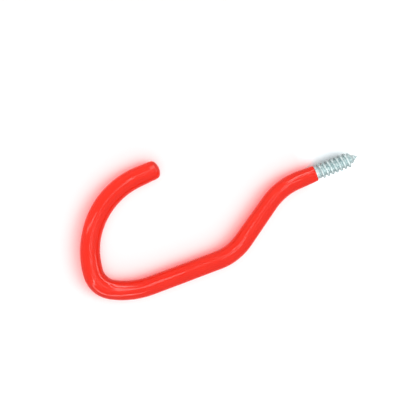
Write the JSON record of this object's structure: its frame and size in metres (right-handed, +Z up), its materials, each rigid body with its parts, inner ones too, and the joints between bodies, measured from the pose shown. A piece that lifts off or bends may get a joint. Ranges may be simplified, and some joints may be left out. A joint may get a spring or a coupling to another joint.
{
  "type": "screw-in garage utility hook",
  "caption": "Bent round steel wire hook with a red dip-coated vinyl skin, an offset shank and a bare wood-screw end, for hanging tools or hoses from a joist or stud.",
  "frame": {"origin": "on the screw's axis where the thread starts, in the plane of the hook", "axes": "+X along the screw to its tip, +Y in the hook's plane towards the arm's free end, +Z up from the surface that the hook lies on"},
  "size_m": [0.1461, 0.0624, 0.01],
  "materials": {
    "zinc_plated_steel": "bright zinc plate over a rolled thread",
    "red_vinyl": "dipped vinyl, soft gloss, slightly wavy"
  },
  "bodies": {
    "root": {"steel_rod": "zinc_plated_steel", "vinyl_coating": "red_vinyl"}
  },
  "joints": []
}
